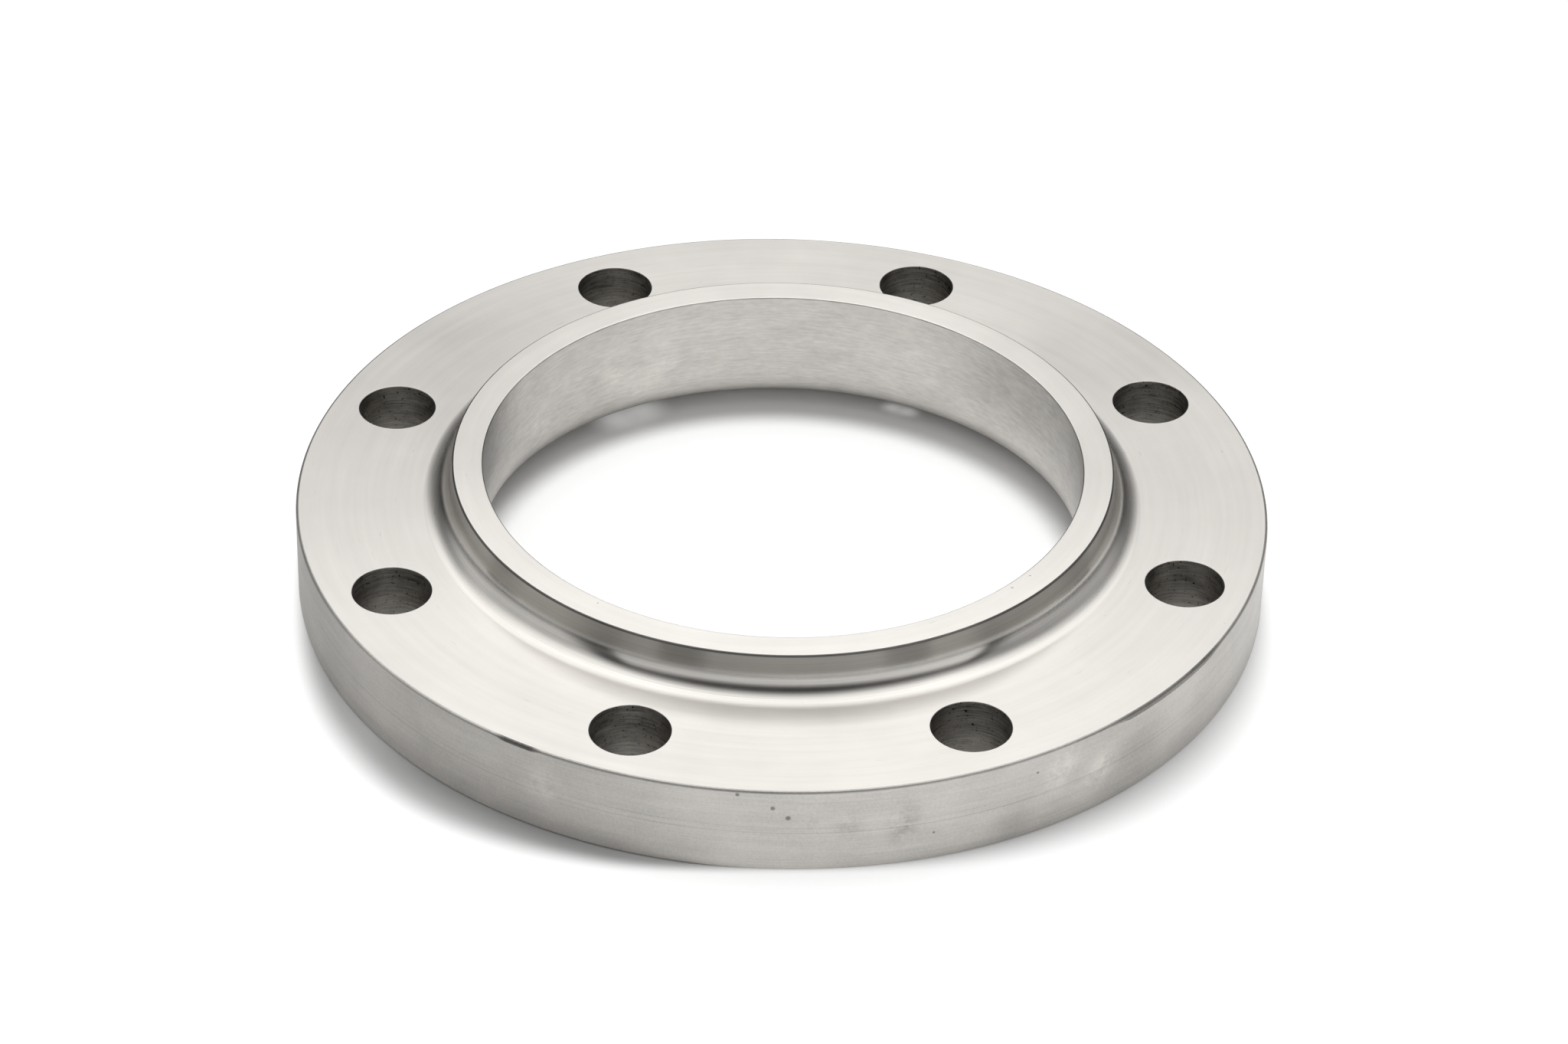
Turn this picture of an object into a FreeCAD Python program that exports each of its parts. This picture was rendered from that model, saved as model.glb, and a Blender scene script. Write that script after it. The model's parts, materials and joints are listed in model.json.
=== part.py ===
import FreeCAD, Part
import math
import os
import Sketcher

# Lap joint flange for nominal pipe size 6, class 150: a turned steel ring with a short hub,
# eight bolt holes, and a large radius where the bore meets the lap face.
# The lap face lies on z = 0 with its centre at the origin, and the hub points along +Z.
# The bolt holes straddle the X and Y axes, as pipe flanges are set up.

# Name, value in millimetres (degrees for the draft, a plain count for the holes), what it is.
SIZES = [
    ("bore_diameter", 172.2, "passes over the stub end"),
    ("bore_to_bolts", 34.55, "bore wall to bolt hole centres, for a bolt circle of 241.3"),
    ("bolts_to_rim", 19.05, "bolt hole centres to rim, for an outer diameter of 279.4"),
    ("flange_thickness", 26.4, "lap face to the face that the nuts bear on"),
    ("hub_rise", 12.0, "height of the hub above the nut face"),
    ("hub_wall", 8.8, "thickness of the hub at its top"),
    ("hub_draft", 5.0, "slope of the hub's outer wall"),
    ("hub_fillet_radius", 8.0, "hub wall into nut face"),
    ("hub_edge_break", 0.8, "chamfer on the top outer edge of the hub"),
    ("rim_edge_break", 1.2, "chamfer on both edges of the rim"),
    ("lap_corner_radius", 12.7, "bore into lap face, clears the stub end's fillet"),
    ("bore_edge_break", 0.4, "chamfer at the top of the bore"),
    ("bolt_hole_diameter", 22.2, "clearance for a 20 mm bolt"),
    ("bolt_hole_count", 8, "bolts around the flange"),
]

# Largest share of the hub's height that the fillet and the top edge may use together.
HUB_WALL_LIMIT = 0.95
TOLERANCE = 1e-4

# Radii that several features share, from the bore outwards.
BORE_RADIUS = "sizes.bore_diameter / 2"
BOLT_RADIUS = "sizes.bore_diameter / 2 + sizes.bore_to_bolts"
RIM_RADIUS = "sizes.bore_diameter / 2 + sizes.bore_to_bolts + sizes.bolts_to_rim"

# How a sketch names its own origin and X axis, and the points of a line or circle.
ORIGIN = (-1, 1)
X_AXIS = -1
START = 1
END = 2
CENTRE = 3


def make_sheet(doc):
    """Spreadsheet of the driving dimensions, one named cell each."""
    sheet = doc.addObject("Spreadsheet::Sheet", "sizes")
    for row, (name, value, note) in enumerate(SIZES, 1):
        sheet.set(f"A{row}", name)
        sheet.set(f"B{row}", str(value))
        sheet.set(f"C{row}", note)
        sheet.setAlias(f"B{row}", name)
    doc.recompute()
    return sheet


def origin_part(body, role):
    """Plane or axis of the body's own origin."""
    return next(item for item in body.Origin.OriginFeatures if item.Role == role)


def add_sketch(body, name, plane):
    """Empty sketch on one of the body's origin planes."""
    sketch = body.newObject("Sketcher::SketchObject", name)
    sketch.AttachmentSupport = [(origin_part(body, plane), "")]
    sketch.MapMode = "FlatFace"
    return sketch


def add_outline(sketch, points):
    """Closed chain of straight lines through the points, joined end to end."""
    count = len(points)
    for index in range(count):
        start = FreeCAD.Vector(*points[index], 0)
        end = FreeCAD.Vector(*points[(index + 1) % count], 0)
        sketch.addGeometry(Part.LineSegment(start, end), False)
    for index in range(count):
        following = (index + 1) % count
        sketch.addConstraint(Sketcher.Constraint("Coincident", index, END, following, START))


def add_dimension(sketch, name, constraint, expression):
    """Named dimension of a sketch, bound to the sheet."""
    number = sketch.addConstraint(constraint)
    sketch.renameConstraint(number, name)
    sketch.setExpression("Constraints." + name, expression)


def ring_edges(shape, radius, height):
    """Names of the circular edges about the Z axis with this radius at this height."""
    names = []
    for number, edge in enumerate(shape.Edges, 1):
        curve = edge.Curve
        if not isinstance(curve, Part.Circle):
            continue
        same_radius = abs(curve.Radius - radius) < TOLERANCE
        same_height = abs(curve.Center.z - height) < TOLERANCE
        if same_radius and same_height:
            names.append(f"Edge{number}")
    if not names:
        raise RuntimeError(f"no edge of radius {radius:.3f} at height {height:.3f}")
    return names


def ring_radii(sheet):
    """Radii of the bore, the bolt circle and the rim."""
    bore = sheet.bore_diameter / 2
    bolts = bore + sheet.bore_to_bolts
    return bore, bolts, bolts + sheet.bolts_to_rim


def revolve_blank(body, sheet):
    """Ring with a tapered hub, turned from its half section about the Z axis."""
    bore, _, rim = ring_radii(sheet)
    hub = bore + sheet.hub_wall
    face = sheet.flange_thickness
    top = face + sheet.hub_rise
    sketch = add_sketch(body, "half_section", "XZ_Plane")
    add_outline(sketch, [(bore, 0), (rim, 0), (rim, face), (hub, face), (hub, top), (bore, top)])
    lap_face, rim_wall, nut_face, hub_side, hub_top, bore_wall = range(6)
    for line in (lap_face, nut_face, hub_top):
        sketch.addConstraint(Sketcher.Constraint("Horizontal", line))
    for line in (rim_wall, bore_wall):
        sketch.addConstraint(Sketcher.Constraint("Vertical", line))
    sketch.addConstraint(Sketcher.Constraint("PointOnObject", lap_face, START, X_AXIS))
    add_dimension(sketch, "bore_radius",
                  Sketcher.Constraint("DistanceX", *ORIGIN, lap_face, START, bore),
                  BORE_RADIUS)
    add_dimension(sketch, "rim_radius",
                  Sketcher.Constraint("DistanceX", *ORIGIN, lap_face, END, rim),
                  RIM_RADIUS)
    add_dimension(sketch, "thickness",
                  Sketcher.Constraint("DistanceY", rim_wall, START, rim_wall, END, face),
                  "sizes.flange_thickness")
    add_dimension(sketch, "hub_height",
                  Sketcher.Constraint("DistanceY", hub_side, START, hub_side, END, top - face),
                  "sizes.hub_rise")
    add_dimension(sketch, "top_wall",
                  Sketcher.Constraint("DistanceX", hub_top, END, hub_top, START, hub - bore),
                  "sizes.hub_wall")
    add_dimension(sketch, "base_wall",
                  Sketcher.Constraint("DistanceX", bore_wall, END, hub_side, START, hub - bore),
                  "sizes.hub_wall + sizes.hub_rise * tan(sizes.hub_draft * 1 deg)")
    blank = body.newObject("PartDesign::Revolution", "turned_blank")
    blank.Profile = sketch
    blank.ReferenceAxis = (sketch, ["V_Axis"])
    blank.Angle = 360
    body.Document.recompute()


def dress_edges(body, kind, name, rings, size, expression):
    """Fillet or Chamfer on rings of the body as it is so far, its size bound to the sheet."""
    base = body.Tip
    edges = [edge for radius, height in rings for edge in ring_edges(base.Shape, radius, height)]
    dressing = body.newObject("PartDesign::" + kind, name)
    dressing.Base = (base, edges)
    dressing.setExpression(size, expression)
    body.Document.recompute()


def finish_edges(body, sheet):
    """Hub fillet, lap corner, and the chamfers of the rim, the hub and the bore."""
    bore, _, rim = ring_radii(sheet)
    hub = bore + sheet.hub_wall
    hub_base = bore + body.getObject("half_section").getDatum("base_wall").Value
    face = sheet.flange_thickness
    top = face + sheet.hub_rise
    wall_room = f"(sizes.hub_rise * {HUB_WALL_LIMIT} - sizes.hub_edge_break)"
    dress_edges(body, "Fillet", "hub_root", [(hub_base, face)], "Radius",
                f"min(sizes.hub_fillet_radius; {wall_room})")
    dress_edges(body, "Fillet", "lap_corner", [(bore, 0)], "Radius", "sizes.lap_corner_radius")
    dress_edges(body, "Chamfer", "rim_edges", [(rim, 0), (rim, face)], "Size", "sizes.rim_edge_break")
    dress_edges(body, "Chamfer", "hub_edge", [(hub, top)], "Size", "sizes.hub_edge_break")
    dress_edges(body, "Chamfer", "bore_edge", [(bore, top)], "Size", "sizes.bore_edge_break")


def drill_bolt_holes(body, sheet):
    """Bolt holes straight through the flange: one beside the X axis, then the whole circle."""
    blank_volume = body.Shape.Volume
    half_step = math.pi / sheet.bolt_hole_count
    _, circle_radius, _ = ring_radii(sheet)
    hole_radius = sheet.bolt_hole_diameter / 2
    centre = circle_radius * FreeCAD.Vector(math.cos(half_step), math.sin(half_step), 0)
    sketch = add_sketch(body, "bolt_hole_place", "XY_Plane")
    spoke = sketch.addGeometry(Part.LineSegment(FreeCAD.Vector(), centre), True)
    hole = sketch.addGeometry(Part.Circle(centre, FreeCAD.Vector(0, 0, 1), hole_radius), False)
    sketch.addConstraint(Sketcher.Constraint("Coincident", spoke, START, *ORIGIN))
    sketch.addConstraint(Sketcher.Constraint("Coincident", hole, CENTRE, spoke, END))
    add_dimension(sketch, "circle_radius", Sketcher.Constraint("Distance", spoke, circle_radius),
                  BOLT_RADIUS)
    add_dimension(sketch, "half_step", Sketcher.Constraint("Angle", spoke, half_step),
                  "180 deg / sizes.bolt_hole_count")
    add_dimension(sketch, "hole_radius", Sketcher.Constraint("Radius", hole, hole_radius),
                  "sizes.bolt_hole_diameter / 2")
    drilled = body.newObject("PartDesign::Pocket", "bolt_hole")
    drilled.Profile = sketch
    drilled.Type = "ThroughAll"
    drilled.Reversed = True
    circle = body.newObject("PartDesign::PolarPattern", "bolt_circle")
    circle.Originals = [drilled]
    circle.Axis = (origin_part(body, "Z_Axis"), [""])
    circle.Angle = 360
    circle.setExpression("Occurrences", "sizes.bolt_hole_count")
    body.Tip = circle
    body.Document.recompute()
    check_drilled(body, sheet, blank_volume)


def check_drilled(body, sheet, blank_volume):
    """Make sure that every bolt hole took its material away."""
    one_hole = math.pi * (sheet.bolt_hole_diameter / 2) ** 2 * sheet.flange_thickness
    expected = one_hole * sheet.bolt_hole_count
    removed = blank_volume - body.Shape.Volume
    if removed < expected - TOLERANCE * expected:
        raise RuntimeError(f"bolt holes removed {removed:.0f} of {expected:.0f} cubic millimetres")


def make_flange(doc, sheet):
    """The whole flange, one turned and drilled piece."""
    body = doc.addObject("PartDesign::Body", "flange")
    body.Label = "flange"
    body.Placement = FreeCAD.Placement()
    revolve_blank(body, sheet)
    finish_edges(body, sheet)
    drill_bolt_holes(body, sheet)
    return body


def check_document(doc, pieces):
    """Stop if any object failed or any piece has no sound solid."""
    for item in doc.Objects:
        if "Invalid" in item.State or "Error" in item.State:
            raise RuntimeError(f"{item.Name} did not compute: {item.State}")
    for piece in pieces:
        shape = piece.Shape
        if shape.isNull() or not shape.isValid() or len(shape.Solids) != 1:
            raise RuntimeError(f"{piece.Label} is not one valid solid")


def main():
    doc = FreeCAD.newDocument("lap_joint_flange")
    sheet = make_sheet(doc)
    pieces = [make_flange(doc, sheet)]
    doc.recompute()
    check_document(doc, pieces)
    os.makedirs("parts", exist_ok=True)
    for piece in pieces:
        piece.Shape.exportStep(f"parts/{piece.Label}.step")
        box = piece.Shape.optimalBoundingBox()
        print(f"{piece.Label}: {box.XLength:.2f} x {box.YLength:.2f} x {box.ZLength:.2f} mm,"
              f" {piece.Shape.Volume / 1000:.1f} cubic centimetres")


main()
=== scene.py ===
import json
import math

import bpy
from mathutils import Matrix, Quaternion, Vector


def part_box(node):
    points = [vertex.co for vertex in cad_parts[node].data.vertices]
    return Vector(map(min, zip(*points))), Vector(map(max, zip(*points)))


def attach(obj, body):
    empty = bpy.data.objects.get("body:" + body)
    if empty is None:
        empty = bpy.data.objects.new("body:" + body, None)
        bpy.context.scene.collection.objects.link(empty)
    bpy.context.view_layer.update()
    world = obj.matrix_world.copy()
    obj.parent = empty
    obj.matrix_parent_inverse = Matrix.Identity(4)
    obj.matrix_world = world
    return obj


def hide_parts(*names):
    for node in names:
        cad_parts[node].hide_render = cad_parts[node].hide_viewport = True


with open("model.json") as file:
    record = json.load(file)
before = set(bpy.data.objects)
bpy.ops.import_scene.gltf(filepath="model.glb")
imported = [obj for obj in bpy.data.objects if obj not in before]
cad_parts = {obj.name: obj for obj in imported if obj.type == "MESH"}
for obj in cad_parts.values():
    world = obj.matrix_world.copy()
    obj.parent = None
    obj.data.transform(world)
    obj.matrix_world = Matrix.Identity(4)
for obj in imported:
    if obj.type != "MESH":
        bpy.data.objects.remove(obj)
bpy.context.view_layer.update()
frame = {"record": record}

# A lap joint flange of turned stainless steel, lying on its lap face. Lengths are in metres.
MM = 0.001
MICRON = 0.000001
mounts = {mount["name"]: mount for mount in frame["record"]["mounts"]}
BORE_RADIUS = mounts["bore"]["dims"]["r_mm"] * MM
BOLT_RADIUS = mounts["bolt_circle"]["dims"]["pcd_mm"] / 2 * MM
BOLT_COUNT = mounts["bolt_circle"]["dims"]["count"]
HOLE_RADIUS = mounts["bolt_circle"]["dims"]["hole_r_mm"] * MM
THICKNESS = mounts["nut_face"]["pos_m"][2]
LOW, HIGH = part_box("flange")
RIM_RADIUS = (HIGH.x - LOW.x) / 2
HEIGHT = HIGH.z
LAP_RADIUS = mounts["bore"]["pos_m"][2] - mounts["bore"]["dims"]["length_mm"] / 2 * MM
HUB_WALL = 8.8 * MM
HUB_DRAFT = math.radians(5.0)
HUB_ROOT_RADIUS = 8.0 * MM
HUB_EDGE_RADIUS = 0.5 * MM
RIM_EDGE_RADIUS = 0.8 * MM
BORE_EDGE_RADIUS = 0.4 * MM
HOLE_EDGE_RADIUS = 0.3 * MM

# How finely the round forms are cut up, how close points touch, and the bevel profile that is an arc.
TURN_STEPS = 384
HOLE_STEPS = 100
HOLE_ARC_STEPS = 4
LARGE_ARC_STEPS = 14
EDGE_ARC_STEPS = 5
SMOOTH_ANGLE = math.radians(32)
TOUCH = 0.01 * MM
ROUND = 0.5

# The colour of bright stainless steel, slightly warm, as a ratio to its red.
STEEL_TINT = (1.0, 0.968, 0.915)

# Two cuts of the rim's turning meet at this height, and again a little above it.
RIM_LINE = 12.9 * MM
SECOND_LINE = RIM_LINE + 1.6 * MM

# The spans of the rim's top edge that are worn, each from one angle to another in radians.
RIGHT_WEAR = (-0.86, -0.62)
LEFT_WEAR = (-2.18, -2.125)

# Handling marks, and patches of painted shade. Each is an angle round the bore in degrees, a height and a
# size, both in millimetres.
RIM_PITS = (
    (-91.9, 17.8, 1.0),
    (-93.6, 21.0, 0.9),
    (-97.5, 25.1, 0.8),
    (-75.5, 9.0, 0.5),
    (-63.0, 20.5, 0.5),
)
RIM_STAINS = (
    (-89.2, 16.7, 4.0),
    (-85.4, 14.7, 6.0),
    (-79.0, 15.5, 8.0),
    (-79.2, 10.4, 6.0),
    (-72.0, 7.5, 4.0),
)
RIM_SCUFFS = (
    (-59.0, 22.0, 8.0),
    (-60.4, 16.0, 9.0),
    (-55.5, 12.2, 9.0),
    (-53.3, 15.2, 7.0),
    (-120.0, 16.0, 9.0),
)
# Painted shade: darker patches on the rim's wall.
PAINTED_RIM_SHADES = ((-50.5, 10.0, 16.0), (-47.0, 17.0, 14.0), (-66.0, 6.0, 10.0))
TOP_NICK_RADIUS = BORE_RADIUS + 2 * MM
TOP_NICKS = ((-46.5, 38.4, 0.5), (-41.4, 38.4, 0.4), (-128.0, 38.4, 0.4))
# Painted shade: broad dim patches on the nut face, at the back left and the back right.
PAINTED_FACE_SHADES = ((141.0, 26.4, 75.0), (36.0, 26.4, 55.0))
BORE_RUBS = (
    (123.0, 20.0, 9.0),
    (116.5, 14.5, 10.0),
    (111.5, 19.0, 7.0),
    (144.3, 18.5, 9.0),
    (60.0, 24.0, 6.0),
)

# The camera, from the photograph: it stands in front and looks down on the flange.
CAMERA_AIM = Vector((0.374, -5.156, 20.0)) * MM
CAMERA_DISTANCE = 1454.36 * MM
CAMERA_AZIMUTH = math.radians(-93.493)
CAMERA_ELEVATION = math.radians(34.953)
CAMERA_ROLL = math.radians(1.5395)
CAMERA_LENS = 115.893
CAMERA_SENSOR = 36.0

# The floor. Close to the flange it shows its plain shade, and farther off the lift makes it white.
FLOOR_RADIUS = 20.0
FLOOR_STEPS = 128
FLOOR_GAP = 0.05 * MM
FLOOR_GREY = 0.8
FLOOR_LIFT = 0.6

# How much of the lift is mirrored in the metal, and where to the west it fades out.
FLOOR_MIRRORED = 0.72
MIRRORED_WEST = (-0.2, 0.0)

# The shade round the rim, and how much farther it reaches at the four corners between the axes.
RIM_SHADE = (RIM_RADIUS - 4 * MM, RIM_RADIUS + 2 * MM)
CORNER_SHIFT = 1.6 * MM
CORNER_SHIFT_EAST = -7.8 * MM
CORNER_REACH = 16 * MM
FRONT_SHIFT = 4 * MM

# The shade inside the bore: where the white middle ends, as it is seen and as it is mirrored.
BORE_SHADE = (81 * MM, 92 * MM)
BORE_SHADE_SHIFT = 8 * MM
LAP_SHADE = (96 * MM, 100 * MM)
MIRRORED_SHADE = (77 * MM, 87 * MM)
MIRRORED_SHADE_SHIFT = 7 * MM

# A painted shadow: the floor's colour is darker close to the rim at the front left.
CONTACT_DARKER = 0.26
CONTACT_INSIDE = (110 * MM, 120 * MM)
CONTACT_OUTSIDE = (RIM_RADIUS, RIM_RADIUS + 9 * MM)

# Painted patches of light on the floor, where the bore would throw light, given as the handling marks are.
GLINT_LEVEL = 0.26
GLINT_RADIUS = 92 * MM
FLOOR_GLINTS = (
    (121.5, 0.0, 9.0),
    (117.5, 0.0, 11.0),
    (113.5, 0.0, 9.0),
    (66.2, 0.0, 4.0),
    (64.0, 0.0, 5.0),
    (61.8, 0.0, 4.0),
)

# The sheet of light. Its edges are soft, and each is where it begins and where it ends, sideways for each
# metre up, to the right or to the back. Close to the horizon, up stays at its least.
LEAST_UP = 0.05
SHEET_LEFT = (-1.25, -0.2)
SHEET_RIGHT = (0.32, 1.08)
SHEET_FRONT = (-0.66, 0.2)
SHEET_BACK = (1.4, 1.58)
SHEET_LEVEL = 1.62
SHEET_TILT = 0.05

# The walls: in front, on the left, on the right and all round. Each has four soft edges, which are where it
# begins and ends round the flange, in radians from the front to the right, and its bottom and top. Then come
# its level, and how much more it has to the right.
WALLS = (
    ((-1.0, -0.94), (1.09, 1.14), (0.03, 0.15), (0.5, 0.7), 0.57, 0.1),
    ((-2.5, -2.1), (-1.35, -1.1), (-0.1, 0.3), (0.63, 1.0), 0.48, 0.0),
    ((1.16, 1.35), (2.1, 2.5), (-0.1, 0.3), (0.54, 0.94), 0.34, 0.0),
    ((-4.0, -3.9), (3.9, 4.0), (0.1, 0.3), (0.4, 0.6), 0.11, 0.0),
)


class Signal:
    """A shader node's output. Sums, products and powers of signals add the Math nodes that work them out."""

    def __init__(self, tree, socket):
        self.tree = tree
        self.socket = socket

    def node(self, kind, settings=None, inputs=None, output=0):
        """Adds a node of this kind to the same tree, with its settings first and then its inputs."""
        made = self.tree.nodes.new(kind)
        for name, value in (settings or {}).items():
            setattr(made, name, value)
        for name, value in (inputs or {}).items():
            if isinstance(value, Signal):
                self.tree.links.new(value.socket, made.inputs[name])
            else:
                made.inputs[name].default_value = value
        return Signal(self.tree, made.outputs[output] if made.outputs else None)

    def outputs(self, *names):
        """The named outputs of the node that this signal comes from."""
        return [Signal(self.tree, self.socket.node.outputs[name]) for name in names]

    def parts(self):
        """The X, Y and Z of a vector, as three signals."""
        return self.node("ShaderNodeSeparateXYZ", {}, {"Vector": self}).outputs("X", "Y", "Z")

    def math(self, operation, *values):
        """One Math node on these values."""
        return self.node("ShaderNodeMath", {"operation": operation}, dict(enumerate(values)))

    def __add__(self, other):
        return self.math("ADD", self, other)

    def __radd__(self, other):
        return self.math("ADD", other, self)

    def __sub__(self, other):
        return self.math("SUBTRACT", self, other)

    def __rsub__(self, other):
        return self.math("SUBTRACT", other, self)

    def __mul__(self, other):
        return self.math("MULTIPLY", self, other)

    def __rmul__(self, other):
        return self.math("MULTIPLY", other, self)

    def __truediv__(self, other):
        return self.math("DIVIDE", self, other)

    def __pow__(self, other):
        return self.math("POWER", self, other)


def new_tree(owner):
    """An empty node tree for a material or a world, as a signal with no socket yet."""
    owner.use_nodes = True
    owner.node_tree.nodes.clear()
    return Signal(owner.node_tree, None)


def rise(signal, low, high):
    """0 below low and 1 above high, with a smooth rise between them."""
    inputs = {"Value": signal, "From Min": low, "From Max": high}
    return signal.node("ShaderNodeMapRange", {"interpolation_type": "SMOOTHSTEP"}, inputs)


def fall(signal, low, high):
    """1 below low and 0 above high, with a smooth fall between them."""
    return 1 - rise(signal, low, high)


def band(signal, low, high, soft):
    """1 between low and high and 0 outside them, with soft edges."""
    return rise(signal, low - soft, low) * fall(signal, high, high + soft)


def swing(noise, amount):
    """Noise about its middle, which raises or lowers a level by up to half of this amount."""
    return amount * (noise - 0.5)


def bump(height, distance):
    """A normal for a surface whose relief is this height times this distance."""
    inputs = {"Height": height, "Distance": distance, "Strength": 1.0}
    return height.node("ShaderNodeBump", {}, inputs)


def tint(level, colour=(1.0, 1.0, 1.0)):
    """A level of brightness as a colour. It is grey unless a colour is given."""
    parts = {name: level * share for name, share in zip(("Red", "Green", "Blue"), colour)}
    return level.node("ShaderNodeCombineColor", {}, parts)


class Lathe:
    """The places on a turned piece: radius, height and turn, and the direction from the axis as two parts."""

    def __init__(self, start):
        self.place = start.node("ShaderNodeTexCoord", output="Object")
        self.x, y, self.height = self.place.parts()
        self.radius = (self.x * self.x + y * y) ** 0.5
        self.east = self.x / self.radius
        self.north = y / self.radius
        self.turn = y.math("ARCTAN2", y, self.x)

    def rings(self, across, around, seed, detail=3.0):
        """Noise drawn out along the turning, with this much change in a metre across it and in a turn."""
        parts = {
            "X": self.radius * across,
            "Y": self.height * across + seed,
            "Z": self.east * around,
        }
        vector = self.place.node("ShaderNodeCombineXYZ", {}, parts)
        inputs = {
            "Vector": vector,
            "W": self.north * around + seed,
            "Scale": 1.0,
            "Detail": detail,
            "Roughness": 0.6,
        }
        return self.place.node("ShaderNodeTexNoise", {"noise_dimensions": "4D"}, inputs)

    def spot(self, radius, degrees, height, size, soft):
        """1 at one small mark, at this radius, angle and height in millimetres, and 0 beyond its size."""
        angle = math.radians(degrees)
        middle = Vector((radius * math.cos(angle), radius * math.sin(angle), height * MM))
        inputs = {0: self.place, 1: middle}
        away = self.place.node("ShaderNodeVectorMath", {"operation": "DISTANCE"}, inputs, "Value")
        return fall(away, size * (1 - soft) * MM, size * MM)

    def spots(self, radius, marks, soft=0.6):
        """All of these marks together. Each is an angle, a height and a size, and soft is its soft share."""
        total = 0
        for degrees, height, size in marks:
            total = total + self.spot(radius, degrees, height, size, soft)
        return total

    def clouds(self, scale, seed, detail=3.0, rough=0.55):
        """Noise that is the same in all directions."""
        inputs = {
            "Vector": self.place,
            "W": seed,
            "Scale": scale,
            "Detail": detail,
            "Roughness": rough,
        }
        return self.place.node("ShaderNodeTexNoise", {"noise_dimensions": "4D"}, inputs)


def steel(name, make):
    """A bright steel material. make gets the places on the piece and gives the shader's inputs."""
    material = bpy.data.materials.new(name)
    start = new_tree(material)
    inputs = {"Metallic": 1.0, "Anisotropic Rotation": 0.25}
    inputs.update(make(Lathe(start)))
    shader = start.node("ShaderNodeBsdfPrincipled", {}, inputs)
    start.node("ShaderNodeOutputMaterial", {}, {"Surface": shader})
    return material


def face_finish(lathe):
    """The nut face and the top of the hub: fine turned, with faint rings, a few handling marks and painted
    light and shade.
    """
    fine = lathe.rings(5200, 3, 1.0)
    broad = lathe.rings(420, 2, 5.0, 4.0)
    smudge = lathe.clouds(38, 2.0)
    scratch = rise(lathe.rings(1500, 14, 21.0, 2.0), 0.70, 0.76)
    speck = rise(lathe.clouds(420, 22.0, 2.0), 0.74, 0.80)
    nicks = lathe.spots(TOP_NICK_RADIUS, TOP_NICKS)
    crown = rise(lathe.height, THICKNESS, HEIGHT)
    painted_face_shade = lathe.spots(BOLT_RADIUS, PAINTED_FACE_SHADES, 1.0)
    level = 0.80 + swing(broad, 0.14) + swing(smudge, 0.16) + 0.08 * crown
    # Painted light and shade: lighter towards the left and the right, and darker in the broad dim patches.
    level = level + 0.04 * lathe.east * lathe.east - 0.12 * painted_face_shade
    level = level - 0.10 * scratch - 0.16 * speck - 0.3 * nicks
    return {
        "Base Color": tint(level, STEEL_TINT),
        "Roughness": 0.29 + swing(smudge, 0.05) + swing(fine, 0.04),
        "Anisotropic": 0.8,
        "Normal": bump(0.6 * fine + broad - 6 * nicks, 3 * MICRON),
    }


def hub_finish(lathe):
    """The hub's wall and root: bright from a round-nosed tool, duller on the wall and out into the face, with
    painted shade at the wall's left and right.
    """
    fine = lathe.rings(3600, 2, 3.0, 4.0)
    smudge = lathe.clouds(60, 4.0)
    speck = rise(lathe.clouds(700, 23.0, 2.0), 0.74, 0.80)
    foot = fall(lathe.height, THICKNESS, THICKNESS + 2.5 * MM)
    lip = rise(lathe.height, HEIGHT - 0.7 * MM, HEIGHT - 0.4 * MM)
    upper = rise(lathe.height, THICKNESS + 4.5 * MM, THICKNESS + 7 * MM)
    level = 0.78 + swing(fine, 0.30) + swing(smudge, 0.12) - 0.25 * speck
    # The wall is darker above its root, and darker still at its left and right sides as painted shade.
    level = level - upper * (0.20 + 0.05 * lathe.east * lathe.east) - 0.4 * lip
    return {
        "Base Color": tint(level, STEEL_TINT),
        "Roughness": 0.18 + 0.11 * foot + 0.13 * upper + swing(smudge, 0.04),
        "Anisotropic": 0.8,
        "Normal": bump(fine, 4 * MICRON),
    }


def rim_finish(lathe):
    """The rim: turned in cuts that meet at faint lines, then handled, with scuffs, stains and pits, and
    patches of painted shade.
    """
    fine = lathe.rings(2600, 5, 7.0, 5.0)
    broad = lathe.rings(300, 3, 9.0)
    grain = lathe.clouds(1500, 14.0, 2.0)
    smudge = lathe.clouds(30, 6.0, 4.0)
    wisps = lathe.clouds(110, 15.0, 5.0, 0.7)
    pits = lathe.spots(RIM_RADIUS, RIM_PITS)
    stains = lathe.spots(RIM_RADIUS, RIM_STAINS, 1.0) * rise(wisps, 0.42, 0.62)
    scuffs = lathe.spots(RIM_RADIUS, RIM_SCUFFS, 0.9) * rise(wisps, 0.36, 0.60)
    painted_shades = lathe.spots(RIM_RADIUS, PAINTED_RIM_SHADES, 1.0)
    step = lathe.height + 0.5 * MM * broad
    line = band(step, RIM_LINE - 0.12 * MM, RIM_LINE + 0.12 * MM, 0.2 * MM)
    line = line + 0.5 * band(step, SECOND_LINE, SECOND_LINE + 0.2 * MM, 0.2 * MM)
    left_worn = band(lathe.turn, *LEFT_WEAR, 0.03)
    worn = band(lathe.turn, *RIGHT_WEAR, 0.08) + 0.5 * left_worn
    foot = THICKNESS - MM * (0.5 + worn * rise(broad, 0.3, 0.5))
    edge = rise(lathe.height, foot - 0.3 * MM, foot) * (0.35 + 0.65 * worn + 0.6 * left_worn)
    level = 0.63 + swing(fine, 0.22) + swing(broad, 0.16) + swing(smudge, 0.40) + swing(grain, 0.20)
    # The rim is darker in the patches of painted shade.
    level = level + 0.22 * scuffs - 0.17 * stains - 0.10 * painted_shades
    level = level - 0.08 * line - 0.36 * edge - 0.35 * pits
    return {
        "Base Color": tint(level, STEEL_TINT),
        "Roughness": 0.34 + swing(smudge, 0.08) + swing(fine, 0.06) + 0.10 * scuffs,
        "Anisotropic": 0.85,
        "Normal": bump(fine + broad + 0.5 * grain - 10 * pits, 6 * MICRON),
    }


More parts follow.
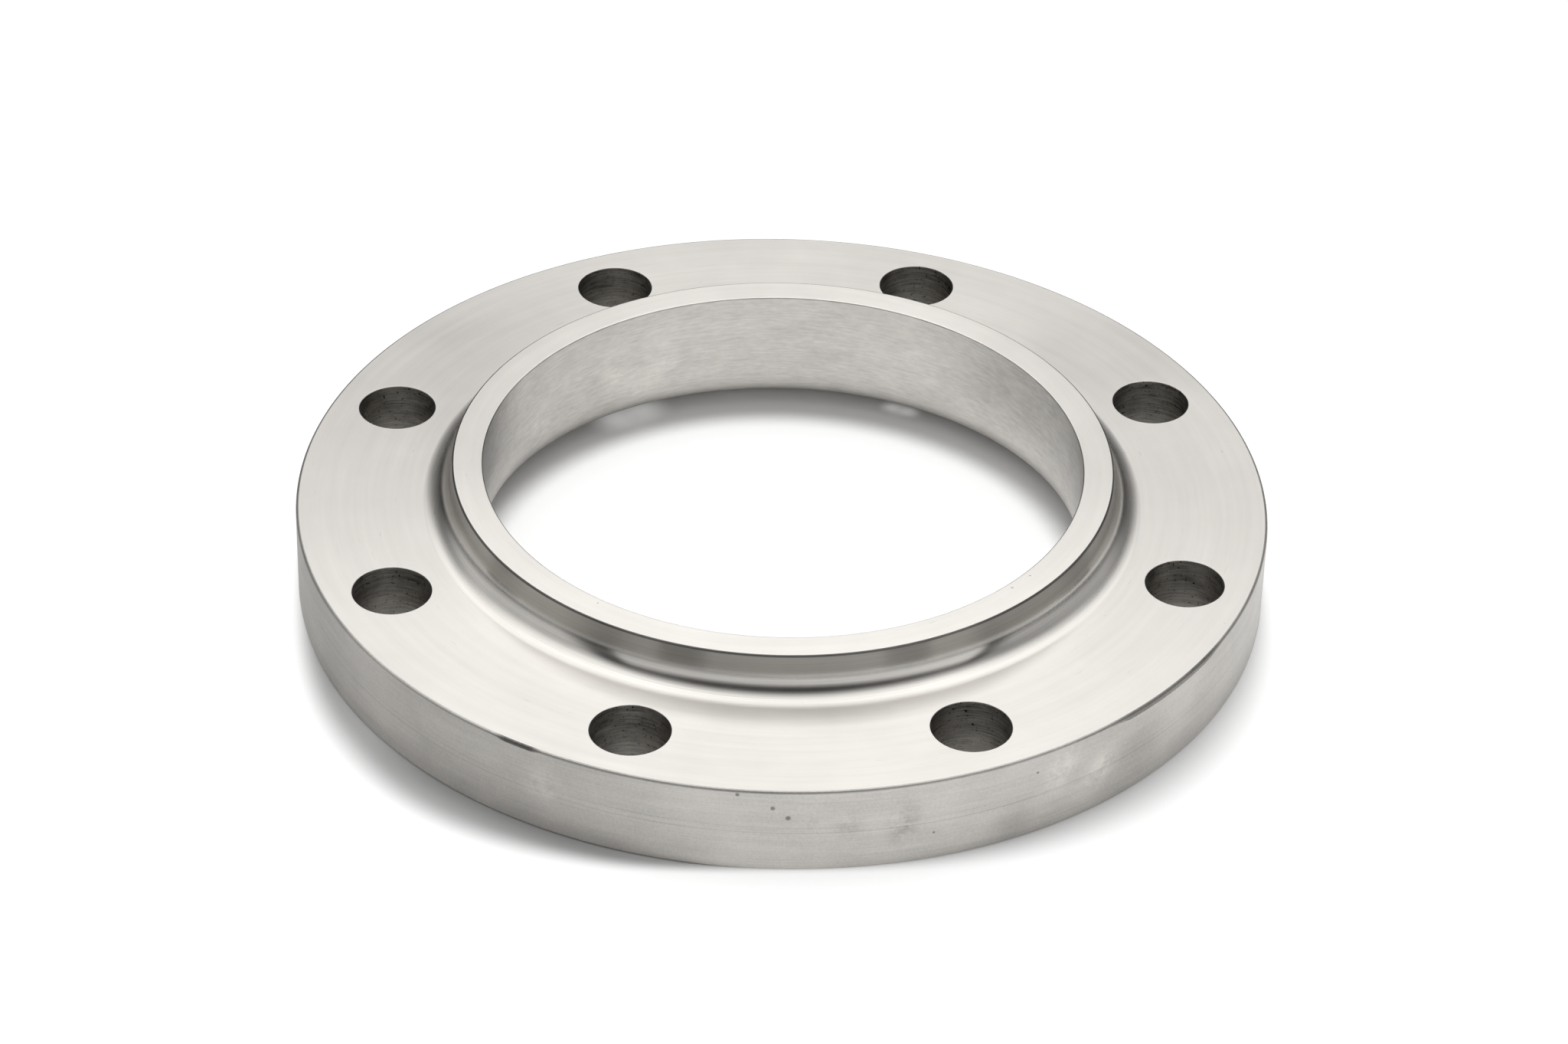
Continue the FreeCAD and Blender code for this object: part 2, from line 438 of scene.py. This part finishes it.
def bore_finish(lathe):
    """The bore and its rounded lap corner: turned, with cloudy marks that run round, and painted shade at the
    ends of its upper wall and at the corner's foot.
    """
    fine = lathe.rings(2600, 5, 11.0, 5.0)
    drawn = lathe.rings(160, 9, 16.0, 4.0)
    smudge = lathe.clouds(24, 8.0, 4.0)
    wisps = lathe.clouds(150, 17.0, 5.0, 0.7)
    rubs = lathe.spots(BORE_RADIUS, BORE_RUBS, 1.0) * rise(wisps, 0.35, 0.65)
    streaks = lathe.rings(1300, 22, 26.0)
    # Painted shade: the foot of the lap corner is darker.
    foot = fall(lathe.height, 2 * MM, 5 * MM)
    # Painted shade: the upper wall is darker at its left and right ends, in place of dark reflections.
    painted_sides = 0.20 * rise(lathe.east, 0.5, 0.85) + 0.34 * rise(-1 * lathe.east, 0.85, 1.0)
    painted_sides = painted_sides * rise(lathe.height, 10 * MM, 26 * MM)
    level = 0.68 + swing(fine, 0.20) + swing(smudge, 0.22) + swing(drawn, 0.22)
    level = level + swing(streaks, 0.34) + 0.10 * rubs - painted_sides - 0.14 * foot
    return {
        "Base Color": tint(level, STEEL_TINT),
        "Roughness": 0.31 + swing(smudge, 0.10) + swing(fine, 0.06),
        "Anisotropic": 0.85,
        "Normal": bump(fine + drawn + streaks, 6 * MICRON),
    }


def hole_finish(lathe):
    """The drilled bolt holes, rough and dull, with drill marks round them and torn pits, and painted light
    low in them.
    """
    inputs = {0: lathe.place, 1: (120, 120, 2400)}
    flattened = lathe.place.node("ShaderNodeVectorMath", {"operation": "MULTIPLY"}, inputs)
    inputs = {"Vector": flattened, "W": 10.0, "Scale": 1.0, "Detail": 3.0}
    marks = flattened.node("ShaderNodeTexNoise", {"noise_dimensions": "4D"}, inputs)
    patch = lathe.clouds(160, 12.0)
    torn = rise(lathe.clouds(1300, 13.0, 3.0), 0.59, 0.68)
    # Painted light: the lower part of each hole's wall is lighter, in place of the floor's light mirrored
    # there.
    deep = fall(lathe.height, 10 * MM, 20 * MM)
    level = 0.40 + 0.28 * deep + swing(marks, 0.90) + swing(patch, 0.60) - 0.35 * torn
    return {
        "Base Color": tint(level, STEEL_TINT),
        "Roughness": 0.34 + swing(patch, 0.3),
        "Anisotropic": 0.7,
        "Normal": bump(marks - 0.5 * torn, 30 * MICRON),
    }


def lap_finish(lathe):
    """The lap face underneath, turned flat with plain rings."""
    fine = lathe.rings(1800, 3, 13.0, 4.0)
    return {
        "Base Color": tint(0.70 + swing(fine, 0.08), STEEL_TINT),
        "Roughness": 0.34 + swing(fine, 0.08),
        "Anisotropic": 0.7,
        "Normal": bump(fine, 10 * MICRON),
    }


def deselect_all():
    bpy.ops.object.select_all(action="DESELECT")


def begin_edit(piece):
    """Opens one piece in edit mode with nothing in it selected."""
    deselect_all()
    bpy.context.view_layer.objects.active = piece
    piece.select_set(True)
    bpy.ops.object.mode_set(mode="EDIT")
    bpy.ops.mesh.select_all(action="DESELECT")


def select(piece, kind, wanted):
    """Selects, in edit mode, the vertices, edges or faces whose middle is wanted."""
    bpy.ops.mesh.select_mode(type=kind)
    bpy.ops.mesh.select_all(action="DESELECT")
    bpy.ops.object.mode_set(mode="OBJECT")
    mesh = piece.data
    points = [vertex.co for vertex in mesh.vertices]
    if kind == "VERT":
        for vertex in mesh.vertices:
            vertex.select = wanted(vertex.co)
    elif kind == "EDGE":
        for edge in mesh.edges:
            start, end = (points[index] for index in edge.vertices)
            edge.select = wanted((start + end) / 2)
    else:
        for face in mesh.polygons:
            face.select = wanted(face.center)
    bpy.ops.object.mode_set(mode="EDIT")


def near(x, y, z):
    """A test for points that touch this place."""
    place = Vector((x, y, z))
    return lambda point: (point - place).length < TOUCH


def round_corner(piece, x, z, radius, turned, steps):
    """Rounds the section's corner at x and z. turned is the angle that the outline turns by there."""
    select(piece, "VERT", near(x, 0, z))
    bpy.ops.mesh.bevel(
        offset=radius * math.tan(turned / 2),
        offset_type="OFFSET",
        affect="VERTICES",
        segments=steps,
        profile=ROUND,
    )


def draw_section():
    """The half section of the flange as one face: the ring's plate with the hub drawn up from it."""
    deselect_all()
    width = RIM_RADIUS - BORE_RADIUS
    middle = ((RIM_RADIUS + BORE_RADIUS) / 2, 0, THICKNESS / 2)
    bpy.ops.mesh.primitive_plane_add(size=1, location=middle, rotation=(math.pi / 2, 0, 0))
    piece = bpy.context.active_object
    piece.name = "flange_body"
    piece.data.name = "flange_body"
    piece.scale = (width, THICKNESS, 1)
    bpy.ops.object.transform_apply(location=True, rotation=True, scale=True)

    hub_rise = HEIGHT - THICKNESS
    lean = hub_rise * math.tan(HUB_DRAFT)
    hub_top = BORE_RADIUS + HUB_WALL
    hub_foot = hub_top + lean
    begin_edit(piece)
    bpy.ops.mesh.select_all(action="SELECT")
    bpy.ops.mesh.bisect(plane_co=(hub_foot, 0, 0), plane_no=(1, 0, 0))
    select(piece, "EDGE", lambda point: point.z > THICKNESS - TOUCH and point.x < hub_foot + TOUCH)
    bpy.ops.mesh.extrude_edges_move(TRANSFORM_OT_translate={"value": (0, 0, hub_rise)})
    select(piece, "VERT", near(hub_foot, 0, HEIGHT))
    bpy.ops.transform.translate(value=(-lean, 0, 0))
    bpy.ops.mesh.select_mode(type="FACE")
    bpy.ops.mesh.select_all(action="SELECT")
    bpy.ops.mesh.dissolve_faces()
    for x, z in ((hub_foot, 0), (BORE_RADIUS, THICKNESS)):
        select(piece, "VERT", near(x, 0, z))
        bpy.ops.mesh.dissolve_verts()
    square = math.pi / 2
    drafted = square - HUB_DRAFT
    round_corner(piece, hub_foot, THICKNESS, HUB_ROOT_RADIUS, drafted, LARGE_ARC_STEPS)
    round_corner(piece, hub_top, HEIGHT, HUB_EDGE_RADIUS, drafted, EDGE_ARC_STEPS)
    round_corner(piece, BORE_RADIUS, 0, LAP_RADIUS, square, LARGE_ARC_STEPS)
    round_corner(piece, BORE_RADIUS, HEIGHT, BORE_EDGE_RADIUS, square, EDGE_ARC_STEPS)
    round_corner(piece, RIM_RADIUS, THICKNESS, RIM_EDGE_RADIUS, square, EDGE_ARC_STEPS)
    round_corner(piece, RIM_RADIUS, 0, RIM_EDGE_RADIUS, square, EDGE_ARC_STEPS)
    return piece


def spin_section(piece):
    """Turns the section about the bore's axis into the blank."""
    bpy.ops.mesh.select_mode(type="VERT")
    bpy.ops.mesh.select_all(action="SELECT")
    bpy.ops.mesh.delete(type="ONLY_FACE")
    bpy.ops.mesh.select_all(action="SELECT")
    bpy.ops.mesh.spin(steps=TURN_STEPS, angle=2 * math.pi, center=(0, 0, 0), axis=(0, 0, 1))
    bpy.ops.mesh.select_all(action="SELECT")
    bpy.ops.mesh.remove_doubles(threshold=TOUCH / 10)
    bpy.ops.mesh.normals_make_consistent(inside=False)
    bpy.ops.object.mode_set(mode="OBJECT")


def hole_places():
    """The bolt holes' centres, which straddle the X and Y axes."""
    spacing = 2 * math.pi / BOLT_COUNT
    for index in range(BOLT_COUNT):
        angle = (index + 0.5) * spacing
        yield Vector((BOLT_RADIUS * math.cos(angle), BOLT_RADIUS * math.sin(angle), 0))


def make_drill(place):
    """A drill for one bolt hole: a cylinder whose ends flare, so that it breaks the hole's edges too."""
    deselect_all()
    bpy.ops.mesh.primitive_cylinder_add(
        vertices=HOLE_STEPS,
        radius=HOLE_RADIUS,
        depth=THICKNESS + 2 * TOUCH,
        location=(place.x, place.y, THICKNESS / 2),
    )
    drill = bpy.context.active_object
    bpy.ops.object.transform_apply(location=True)
    begin_edit(drill)
    flare = 1 + 2 * HOLE_EDGE_RADIUS / HOLE_RADIUS
    for end, way in ((THICKNESS + TOUCH, 1), (-TOUCH, -1)):
        select(drill, "FACE", near(place.x, place.y, end))
        bpy.ops.mesh.extrude_region_move()
        bpy.ops.transform.resize(value=(flare, flare, 1), center_override=(place.x, place.y, end))
        move = {"value": (0, 0, way * HOLE_EDGE_RADIUS)}
        bpy.ops.mesh.extrude_region_move(TRANSFORM_OT_translate=move)
    select(drill, "EDGE", on_drill_corner)
    bpy.ops.mesh.bevel(
        offset=HOLE_EDGE_RADIUS,
        offset_type="OFFSET",
        affect="EDGES",
        segments=HOLE_ARC_STEPS,
        profile=ROUND,
    )
    bpy.ops.mesh.select_all(action="SELECT")
    bpy.ops.mesh.normals_make_consistent(inside=False)
    bpy.ops.object.mode_set(mode="OBJECT")
    return drill


def drill_holes(piece):
    """Cuts the bolt holes and breaks their edges."""
    for place in hole_places():
        drill = make_drill(place)
        cut = piece.modifiers.new("bolt_hole", "BOOLEAN")
        cut.object = drill
        cut.solver = "EXACT"
        bpy.context.view_layer.objects.active = piece
        bpy.ops.object.modifier_apply(modifier=cut.name)
        bpy.data.objects.remove(drill)


def from_hole(point):
    """How far a point lies from the nearest bolt hole's axis."""
    return min(math.hypot(point.x - place.x, point.y - place.y) for place in hole_places())


def on_drill_corner(point):
    """Whether a point lies where a drill's cylinder meets the flare at its end."""
    at_end = point.z < TOUCH or point.z > THICKNESS - TOUCH
    return at_end and abs(from_hole(point) - HOLE_RADIUS) < TOUCH


def surface_of(point):
    """Which finish a face at this place has."""
    radius = math.hypot(point.x, point.y)
    if from_hole(point) < HOLE_RADIUS + HOLE_EDGE_RADIUS and TOUCH < point.z < THICKNESS - TOUCH:
        return "hole"
    if point.z < TOUCH:
        return "lap"
    if radius > RIM_RADIUS - RIM_EDGE_RADIUS and point.z < THICKNESS - TOUCH:
        return "rim"
    if radius < BORE_RADIUS + LAP_RADIUS and point.z < THICKNESS - HUB_ROOT_RADIUS:
        return "bore"
    if radius < BORE_RADIUS + BORE_EDGE_RADIUS and point.z < HEIGHT - TOUCH:
        return "bore"
    if point.z > THICKNESS + TOUCH and point.z < HEIGHT - TOUCH:
        return "hub"
    return "face"


def dress(piece):
    """Gives each surface of the flange its own finish."""
    finishes = {
        "face": face_finish,
        "hub": hub_finish,
        "rim": rim_finish,
        "bore": bore_finish,
        "hole": hole_finish,
        "lap": lap_finish,
    }
    names = list(finishes)
    for name in names:
        piece.data.materials.append(steel(name + "_steel", finishes[name]))
    for face in piece.data.polygons:
        face.material_index = names.index(surface_of(face.center))


def smooth(piece):
    """Smooth shading on round forms, with the flat faces kept flat."""
    deselect_all()
    piece.select_set(True)
    bpy.context.view_layer.objects.active = piece
    bpy.ops.object.shade_smooth_by_angle(angle=SMOOTH_ANGLE)
    weigh = piece.modifiers.new("flat_faces", "WEIGHTED_NORMAL")
    weigh.keep_sharp = True
    weigh.weight = 100
    bpy.ops.object.modifier_apply(modifier=weigh.name)


def make_flange():
    """The flange, which rides on the part's one body and stands for its one solid."""
    piece = draw_section()
    spin_section(piece)
    drill_holes(piece)
    dress(piece)
    smooth(piece)
    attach(piece, "root")
    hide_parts("flange")


def floor_lift(lathe, seen, mirrored):
    """How much the floor is lifted to white: fully away from the flange and in the middle of the bore."""
    corner = 4 * lathe.east * lathe.east * lathe.north * lathe.north
    front = rise(-0.5 * lathe.east - 0.87 * lathe.north, 0.89, 1.0)
    low = RIM_SHADE[0] + corner * (CORNER_SHIFT + CORNER_SHIFT_EAST * lathe.east) + FRONT_SHIFT * front
    high = RIM_SHADE[1] + CORNER_REACH * corner
    outside = rise(lathe.radius, low, high)
    inside = lathe.radius + BORE_SHADE_SHIFT * lathe.north + MM * lathe.east
    bare = 0.95 * fall(inside, *BORE_SHADE) + 0.05 * fall(lathe.radius, *LAP_SHADE) + outside
    # Painted light: soft patches where the bore would throw light on the floor.
    bare = bare + GLINT_LEVEL * lathe.spots(GLINT_RADIUS, FLOOR_GLINTS, 1.0)
    deep = fall(lathe.radius - MIRRORED_SHADE_SHIFT * lathe.north, *MIRRORED_SHADE) + outside
    return FLOOR_LIFT * (seen * bare + mirrored * deep)


def painted_contact_shadow(lathe):
    """1 in the painted shadow, close to the rim at the front left."""
    shade = rise(-0.57 * lathe.east - 0.82 * lathe.north, 0.92, 1.0)
    return shade * rise(lathe.radius, *CONTACT_INSIDE) * fall(lathe.radius, *CONTACT_OUTSIDE)


def add_floor():
    """A plain white floor that goes on past the view, and keeps the flange's shadow, with a painted shadow
    and painted patches of light on it.
    """
    deselect_all()
    bpy.ops.mesh.primitive_circle_add(
        vertices=FLOOR_STEPS,
        radius=FLOOR_RADIUS,
        fill_type="NGON",
        location=(0, 0, -FLOOR_GAP),
    )
    floor = bpy.context.active_object
    floor.name = "floor"
    material = bpy.data.materials.new("white_floor")
    start = new_tree(material)
    rays = start.node("ShaderNodeLightPath")
    seen, glossy, clear = rays.outputs("Is Camera Ray", "Is Glossy Ray", "Is Transmission Ray")
    lathe = Lathe(start)
    mirrored = glossy.math("MAXIMUM", glossy, clear) * FLOOR_MIRRORED
    mirrored = mirrored * rise(lathe.x, *MIRRORED_WEST)
    inputs = {
        "Base Color": tint(FLOOR_GREY - CONTACT_DARKER * painted_contact_shadow(lathe) * seen),
        "Roughness": 1.0,
        "Specular IOR Level": 0.0,
        "Emission Color": tint(floor_lift(lathe, seen, mirrored)),
        "Emission Strength": 1.0,
    }
    shader = start.node("ShaderNodeBsdfPrincipled", {}, inputs)
    start.node("ShaderNodeOutputMaterial", {}, {"Surface": shader})
    floor.data.materials.append(material)


def add_world():
    """The studio: a large soft sheet of light above and behind, and dim walls in front and at the sides."""
    world = bpy.data.worlds.new("studio")
    bpy.context.scene.world = world
    start = new_tree(world)
    x, y, z = start.node("ShaderNodeTexCoord", output="Generated").parts()
    up = z.math("MAXIMUM", z, LEAST_UP)
    right = x / up
    back = y / up
    sheet = rise(right, *SHEET_LEFT) * fall(right, *SHEET_RIGHT)
    sheet = sheet * rise(back, *SHEET_FRONT) * fall(back, *SHEET_BACK)
    level = sheet * (SHEET_LEVEL + SHEET_TILT * right)
    turn = x.math("ARCTAN2", x, -1 * y)
    for first, last, bottom, top, wall_level, wall_tilt in WALLS:
        wall = rise(turn, *first) * fall(turn, *last) * rise(z, *bottom) * fall(z, *top)
        level = level + wall * (wall_level + wall_tilt * x)
    surface = start.node("ShaderNodeBackground", {}, {"Color": tint(level), "Strength": 1.0})
    start.node("ShaderNodeOutputWorld", {}, {"Surface": surface})


def add_camera():
    """The camera at the photograph's place, with its lens."""
    data = bpy.data.cameras.new("camera")
    data.sensor_width = CAMERA_SENSOR
    data.lens = CAMERA_LENS
    data.clip_start = 0.05
    data.clip_end = 100
    camera = bpy.data.objects.new("camera", data)
    bpy.context.scene.collection.objects.link(camera)
    level = math.cos(CAMERA_ELEVATION)
    east = level * math.cos(CAMERA_AZIMUTH)
    north = level * math.sin(CAMERA_AZIMUTH)
    towards = Vector((east, north, math.sin(CAMERA_ELEVATION)))
    camera.location = CAMERA_AIM + towards * CAMERA_DISTANCE
    upright = towards.to_track_quat("Z", "Y")
    camera.rotation_mode = "QUATERNION"
    camera.rotation_quaternion = upright @ Quaternion((0, 0, 1), CAMERA_ROLL)
    bpy.context.scene.camera = camera


def add_studio():
    """The floor, the light and the camera."""
    add_floor()
    add_world()
    add_camera()
    bpy.context.scene.view_settings.view_transform = "Standard"


make_flange()
add_studio()
